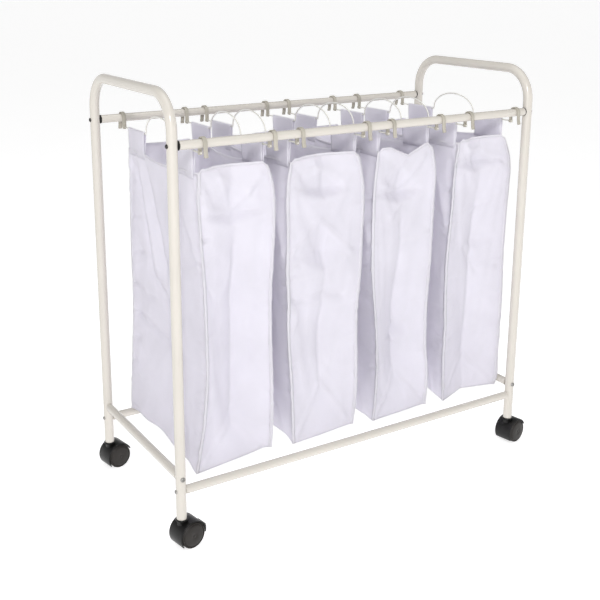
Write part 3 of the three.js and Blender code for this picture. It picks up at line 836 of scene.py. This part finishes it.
def front_relief(shape, share, height, width, seed, mirrored=False):
    """How far the front stands out from flat, in mm. share runs from 0 at its left seam to 1."""
    ridge = 1 - np.sqrt((2 * share - 1) ** 2 + 0.0002)
    opening = np.clip((height - shape["bottom"][0]) / shape["apex"], 0, 1)
    out = -smooth_curve(shape["gusset"], height) * np.minimum(ridge, opening)
    out -= shape["base_fold"] * ridge * (1 - opening) * (not mirrored)
    out += smooth_curve(shape["bulge"], height) * (1 - (2 * share - 1) ** 2)
    if not mirrored:
        for place, z, half, up, down, depth in shape["pits"]:
            rise = np.where(height > z, (height - z) / up, (z - height) / down)
            out -= 1.3 * depth * np.clip(1 - np.abs(share - place) / half - rise, 0, 1)
    return out + eased(np.minimum(share, 1 - share) * width, 0, 12) * swell(share * width, height, seed)


def front_creases(shape, share, height, width, rng, seed, mirrored=False):
    """The front's sharp creases and puckers, in mm."""
    away = eased(np.minimum(share, 1 - share) * width, TAPE - 2, TAPE + 6)
    base = shape["bottom"][0]
    top = base + shape["apex"]
    lines = [([(0.5, top), (0.5, 540)], -2.5, 3.5), ([(0, base), (0.5, top), (1, base)], 6, 5)]
    if not mirrored:
        lines += [(points, 1.7 * lift, spread) for points, lift, spread in shape["creases"]]
    out = pressed(lines, share * width, height, width) + crumple(share * width, height, seed, 1.1)
    return out * away + puckers(share * width, height, width, rng, 50)


def side_relief(along, height, seed):
    """How far a side stands out from flat, in mm. along is y, from the front seam to the rear."""
    away = eased(HALF - np.abs(along), 0, 14)
    tuck = np.exp(-(((along + HALF - 14) / 12) ** 2))
    tuck *= eased(height, 480, 600) * (1 - eased(height, 680, END_TOP))
    return away * swell(along + seed * 50, height, seed + 20) - 9 * tuck


def side_creases(along, height, rng, seed, folds):
    """A side's sharp creases and puckers, in mm."""
    away = eased(HALF - np.abs(along), TAPE - 2, TAPE + 8)
    out = 1.5 * pressed(folds, along, height) + crumple(along + seed * 50, height, seed + 20, 1.2)
    return out * away + 1.3 * puckers(along + HALF, height, 2 * HALF, rng, 60, 34)


def spaced(columns, width):
    """Places from 0 to 1 across a panel, closer together under its two bound edges."""
    edge = np.array([0, TAPE / 2, TAPE]) / width
    return np.concatenate([edge[:2], np.linspace(edge[2], 1 - edge[2], columns - 3), 1 - edge[1::-1]])


def panel(x, y, z):
    return np.stack([x, y, z], -1)


def ring_of(front, right, rear, left):
    """The four panels joined round the bag. The left one comes from front to rear."""
    return np.concatenate([front[:-1], right[:-1], rear[:-1], left[::-1][:-1]])


def bag_points(shape, mouth, skew, seed):
    """The bag's surface in mm: band[column, row] round the four panels, bottom[i, j] between, and
    how far each point of the band moves when the sharp creases are pressed in."""
    rng = np.random.default_rng(seed)
    lean = math.tan(math.radians(skew))
    front_base, rear_base = shape["bottom"]
    length = SIDE_TOP - front_base
    rows = np.concatenate([np.linspace(0, 1 - TAPE / length, ROWS - 1), [1 - TAPE / 2 / length, 1]])
    share = spaced(FRONT_COLUMNS, 150)[:, None] * np.ones(ROWS + 1)
    along = (2 * HALF * spaced(SIDE_COLUMNS, 2 * HALF) - HALF)[:, None] * np.ones(ROWS + 1)
    at_rear = HALF * np.ones_like(share)
    at_front = -at_rear

    def heights(y, top, across):
        rear = eased(y, -HALF, HALF)
        base = front_base + (rear_base - front_base) * rear + shape["tilt"] * across * (1 - rear)
        base += 3 * np.sin(y / 19 + seed) * eased(HALF - np.abs(y), 0, 50)
        base += shape["arch"] * np.cos(math.pi / 2 * y / HALF)
        return base + rows * (top - base)

    def edges(z, y):
        """Left and right edges of the bag at a height and depth."""
        rear = eased(y, -HALF, HALF)
        reach = mouth / 2 + 2 + 16 * (1 - eased(z, 124, 400))
        left = smooth_curve(shape["left"], z) * (1 - rear) + (-reach - lean * y) * rear
        right = smooth_curve(shape["right"], z) * (1 - rear) + (reach - lean * y) * rear
        return left, right

    place, spread, amount = shape["droop"]
    droop = amount * np.clip(1 - np.abs(share - place) / spread, 0, 1)
    corner = eased(np.minimum(share, 1 - share), 0, 0.07)
    end_top = SIDE_TOP + (END_TOP - SIDE_TOP) * corner
    side_top = SIDE_TOP - 4 * np.clip(1 - (along / TAB_INNER) ** 2, 0, 1)
    front_z, rear_z = heights(at_front, end_top - droop, share), heights(at_rear, end_top, share)
    left_z, right_z = heights(along, side_top, 0), heights(along, side_top, 1)

    front_left, front_right = edges(front_z, at_front)
    rear_left, rear_right = edges(rear_z, at_rear)
    width, rear_width = front_right - front_left, rear_right - rear_left
    wide, rear_wide = width.mean(), rear_width.mean()
    front_out = front_relief(shape, share, front_z, wide, seed)
    rear_out = front_relief(shape, share, rear_z, rear_wide, seed + 5, True)
    front = panel(front_left + share * width, -HALF - front_out, front_z)
    rear = panel(rear_right - share * rear_width, HALF + rear_out, rear_z)
    front_fold = front_creases(shape, share, front_z, wide, rng, seed)
    rear_fold = front_creases(shape, share, rear_z, rear_wide, rng, seed + 5, True)

    def side_panel(way, edge, z, turn, folds):
        """A side's points, and its creases. It hangs from its wire along the top. way is -1 at the left."""
        hang = eased(z, 630, 684) * eased(HALF - np.abs(along), 0, 10)
        out = way * side_relief(-way * along, z, turn)
        on_wire = way * (mouth / 2 + 1.6) - lean * along
        x = (edge + out) * (1 - hang) + (on_wire + 0.3 * out) * hang
        fold = way * side_creases(-way * along, z, rng, turn, folds) * (1 - 0.8 * hang)
        level = np.zeros_like(along)
        return panel(x, along, z), panel(fold, level, level)

    left, left_fine = side_panel(-1, edges(left_z, along)[0], left_z, seed + 1, SIDE_FOLDS)
    right, right_fine = side_panel(1, edges(right_z, along)[1], right_z, seed + 2, SIDE_FOLDS[2:8])
    zero = np.zeros_like(share)
    band = ring_of(front, right, rear, left)
    fine = ring_of(panel(zero, -front_fold, zero), right_fine, panel(zero, rear_fold, zero), left_fine)
    fine *= eased(rows, 0, 0.02)[None, :, None]

    front, right, rear, left = edges_of(band[:, 0])
    u = np.linspace(0, 1, FRONT_COLUMNS + 1)[:, None, None]
    v = np.linspace(0, 1, SIDE_COLUMNS + 1)[None, :, None]
    bottom = (
        (1 - v) * front[:, None] + v * rear[:, None] + (1 - u) * left[None] + u * right[None]
        - (1 - u) * (1 - v) * front[0] - u * (1 - v) * front[-1]
        - u * v * rear[-1] - (1 - u) * v * rear[0]
    )
    sag = 16 * (u * (1 - u) * v * (1 - v))[..., 0] * 4
    bottom[..., 2] -= sag
    return band, bottom, fine


def edges_of(ring):
    """The four stretches of a ring of columns: front and rear from the left, right and left from
    the front."""
    f, s = FRONT_COLUMNS, SIDE_COLUMNS
    ring = np.append(ring, ring[:1], 0)
    return ring[: f + 1], ring[f : f + s + 1], ring[f + s : 2 * f + s + 1][::-1], ring[2 * f + s :][::-1]


def grid_faces(index):
    """Faces between the neighbours in a grid of point numbers."""
    corners = index[:-1, :-1], index[1:, :-1], index[1:, 1:], index[:-1, 1:]
    return np.stack(corners, -1).reshape(-1, 4).tolist()


def bag_mesh(name, band, bottom):
    """A mesh from the band and the bottom's inner points."""
    index = np.arange(band[..., 0].size).reshape(band.shape[:2])
    inner = bottom[1:-1, 1:-1]
    floor = np.zeros(bottom.shape[:2], int)
    floor[:, 0], floor[-1], floor[:, -1], floor[0] = edges_of(index[:, 0])
    floor[1:-1, 1:-1] = index.size + np.arange(inner[..., 0].size).reshape(inner.shape[:2])
    faces = grid_faces(np.append(index, index[:1], 0)) + grid_faces(floor.T)
    return new_object(name, np.concatenate([band.reshape(-1, 3), inner.reshape(-1, 3)]), faces, FABRIC)


def tab_points(side, mouth, skew, face, seed):
    """A tab that rises outside its panel, goes over the wire and comes down inside, in mm."""
    rng = np.random.default_rng(seed)
    lean = math.tan(math.radians(skew))
    outside, radius = 2.0, 2.6
    start_z, end_z = 677, 683
    turn = WIRE_Z / MM + 0.6
    down = np.linspace(0, 1, 7)
    out = [(outside + (radius - outside) * t, start_z + (turn - start_z) * t) for t in down]
    out += arc(radius, 0, math.pi, 9, (0, turn))[1:-1]
    out += [(-radius + (radius - 0.4) * t, turn + (end_z - turn) * t) for t in down]
    path = np.array(out)
    y = np.linspace(TAB_INNER, TAB_OUTER, 19)
    if face == "front":
        y = -y[::-1]
    grid = np.zeros((len(y), len(path), 3))
    sway = rng.uniform(-0.4, 0.4, 3)
    for i, at in enumerate(y):
        t = i / (len(y) - 1)
        wave = sway[0] * math.sin(5 * t + sway[1] * 6) + 0.3 * math.sin(13 * t + 6 * sway[2])
        grid[i, :, 0] = side * (mouth / 2 + path[:, 0]) - lean * at + wave * (path[:, 1] < turn - 3)
        grid[i, :, 1] = at + 0.8 * math.sin(math.pi * (0.5 - t)) * (path[:, 1] < 700)
        grid[i, :, 2] = path[:, 1]
    return grid


def grid_mesh(name, grid, material):
    index = np.arange(grid[..., 0].size).reshape(grid.shape[:2])
    return new_object(name, grid.reshape(-1, 3), grid_faces(index), material)


def places_of(piece):
    return np.array([v.co for v in piece.data.vertices])


def move_to(piece, places):
    piece.data.vertices.foreach_set("co", places.ravel())
    piece.data.update()


def lay_uv(piece, origin):
    """UVs in metres from where each face lies: along the panel, and up it."""
    layer = piece.data.uv_layers.new(name="cloth")
    co = places_of(piece)
    values = np.zeros((len(piece.data.loops), 2))
    for face in piece.data.polygons:
        ax, ay, az = (abs(n) for n in face.normal)
        for loop in face.loop_indices:
            x, y, z = co[piece.data.loops[loop].vertex_index] - origin
            values[loop] = (x, y) if az > max(ax, ay) else ((y, z) if ax > ay else (x, z))
    layer.data.foreach_set("uv", values.ravel())


def drape(piece, pinned, most=2 * MM, frames=14):
    """Lets the cloth hang from its pinned points for a moment, moving no point further than most."""
    scene = bpy.context.scene
    start = places_of(piece)
    group = piece.vertex_groups.new(name="pinned")
    group.add([int(i) for i in pinned], 1.0, "REPLACE")
    cloth = piece.modifiers.new("cloth", "CLOTH")
    settings = cloth.settings
    settings.quality, settings.mass, settings.air_damping = 5, 0.12, 2
    settings.tension_stiffness = settings.compression_stiffness = 12
    settings.shear_stiffness, settings.bending_stiffness = 6, 1.5
    settings.vertex_group_mass = "pinned"
    cloth.collision_settings.use_collision = False
    cloth.point_cache.frame_start, cloth.point_cache.frame_end = 1, frames
    for step in range(1, frames + 1):
        scene.frame_set(step)
    graph = bpy.context.evaluated_depsgraph_get()
    move = places_of(piece.evaluated_get(graph)) - start
    piece.modifiers.clear()
    piece.vertex_groups.clear()
    scene.frame_set(1)
    length = np.linalg.norm(move, axis=1, keepdims=True)
    move *= most * np.tanh(length / most) / np.maximum(length, 1e-9)
    move_to(piece, start + move)


def binding(band, columns, rows, lifts, across):
    """A tape on the cloth over those columns and rows of its grid. lifts: how far it stands off, from
    the edge inward. across: its columns run inward, as at an upright seam, instead of its rows. UVs
    run in from the edge and along it."""
    around = np.roll(band, -1, 0) - np.roll(band, 1, 0)
    normal = np.cross(around, np.gradient(band, axis=1))
    normal /= np.maximum(np.linalg.norm(normal, axis=2, keepdims=True), 1e-9)
    columns = np.array(columns) % band.shape[0]
    lift = np.array(lifts)[:, None, None] if across else np.array(lifts)[None, :, None]
    grid = band[columns][:, rows] + normal[columns][:, rows] * lift
    tape = grid_mesh("tape", grid, BINDING)

    def run(axis):
        steps = np.diff(grid, axis=axis, prepend=grid[:1] if axis == 0 else grid[:, :1])
        return np.cumsum(np.linalg.norm(steps, axis=2), axis)

    inward, length = (run(0), run(1)) if across else (run(1), run(0))
    places = np.stack([inward, length], -1).reshape(-1, 2)
    values = [places[loop.vertex_index] for loop in tape.data.loops]
    tape.data.uv_layers.new(name="cloth").data.foreach_set("uv", np.array(values).ravel())
    return tape


def bindings(name, band):
    """The tapes over the four upright seams and along the top hem."""
    f, s = FRONT_COLUMNS, SIDE_COLUMNS
    seams = [0, f, f + s, 2 * f + s, 2 * f + 2 * s]
    tapes = []
    for seam in seams[:-1]:
        for step in (1, -1):
            columns = [seam + step * c for c in range(3)]
            tapes.append(binding(band, columns, np.arange(ROWS + 1), [0.9 * MM, 0.6 * MM, 0.3 * MM], True))
    hem = np.arange(ROWS, ROWS - 3, -1)
    for start, stop in zip(seams, seams[1:]):
        tapes.append(binding(band, range(start, stop + 1), hem, [0.8 * MM, 0.7 * MM, 0.35 * MM], False))
    return joined(name, tapes)


def solid(piece, thickness):
    """Gives a sheet its thickness and keeps the result."""
    shell = piece.modifiers.new("thickness", "SOLIDIFY")
    shell.thickness = thickness
    shell.offset = 0
    applied(piece)


def bag(number):
    name = f"bag_{number}"
    skew = BAG_SKEWS[number - 1]
    left, right = middle(f"{name}_wire_left").x, middle(f"{name}_wire_right").x
    origin = np.array(Vector(((left + right) / 2, MIDDLE_Y, 0)))
    mouth = (right - left) / MM
    band, bottom, fine = bag_points(BAG_SHAPES[number - 1], mouth, skew, number)
    body = bag_mesh(f"{name}_fabric", band * MM + origin, bottom * MM + origin)
    body.data.flip_normals()
    from_middle = np.abs(band[..., 1])
    held = (band[..., 2] > SIDE_TOP - 10) & (from_middle > TAB_INNER - 4) & (from_middle < TAB_OUTER + 2)
    held[:FRONT_COLUMNS] = False
    held[FRONT_COLUMNS + SIDE_COLUMNS + 1 : 2 * FRONT_COLUMNS + SIDE_COLUMNS] = False
    drape(body, np.nonzero(held.ravel())[0])
    co = places_of(body)
    co[: held.size] += fine.reshape(-1, 3) * MM
    move_to(body, co)
    tape = bindings(f"{name}_binding", co[: held.size].reshape(band.shape))
    tabs = [
        grid_mesh("tab", tab_points(side, mouth, skew, face, number * 10 + k) * MM + origin, FABRIC)
        for k, (side, face) in enumerate([(-1, "front"), (-1, "rear"), (1, "front"), (1, "rear")])
    ]
    tab = joined(f"{name}_tabs", tabs)
    lay_uv(body, origin)
    lay_uv(tab, origin)
    for piece, thickness in ((body, CLOTH), (tape, TAPE_CLOTH), (tab, CLOTH)):
        solid(piece, thickness)
        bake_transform(piece)
    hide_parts(f"{name}_shell", f"{name}_right_band")


for bag_number in range(1, 5):
    bag(bag_number)

# ---- stage and light

SKY = 0.36  # brightness overhead


def pale_floor():
    tree = Tree(bpy.data.materials.new("studio_floor"))
    tone = tree.ranged(tree.noise(3, 2), 0, 1, 0.3, 0.7)
    material = tree.shade(
        Base_Color=tree.mixed(tone, (0.69, 0.69, 0.69), (0.71, 0.71, 0.71)), Roughness=0.8,
        Specular_IOR_Level=0.1, Emission_Color=(1, 1, 1), Emission_Strength=0.66,
    )
    reach = 80
    points = [(x * reach, y * reach, 0) for x, y in ((-1, -1), (1, -1), (1, 1), (-1, 1))]
    new_object("floor", points, [(0, 1, 2, 3)], material)


def studio_world():
    """A room that is white round the horizon and dimmer overhead."""
    tree = Tree(bpy.data.worlds.new("studio"), "Background")
    height = tree.add("SeparateXYZ", Vector=tree.places["Generated"])["Z"]
    bpy.context.scene.world = tree.shade(Color=tree.ranged(height, 1.0, SKY, 0.12, 0.4), Strength=1.0)


def area_light(name, place, size, power):
    data = bpy.data.lights.new(name, "AREA")
    data.shape, data.size, data.energy = "DISK", size, power
    light = in_scene(name, data)
    light.location = place
    aim = Vector((0, 0, 0.4)) - Vector(place)
    light.rotation_euler = aim.to_track_quat("-Z", "Y").to_euler()


pale_floor()
studio_world()
bpy.context.scene.view_settings.view_transform = "Standard"
area_light("key", (-1.9, -3.2, 2.6), 0.5, 64)
area_light("fill", (-2.3, -3.1, 1.1), 2.2, 18)
area_light("top", (0.0, -0.3, 3.2), 2.4, 20)
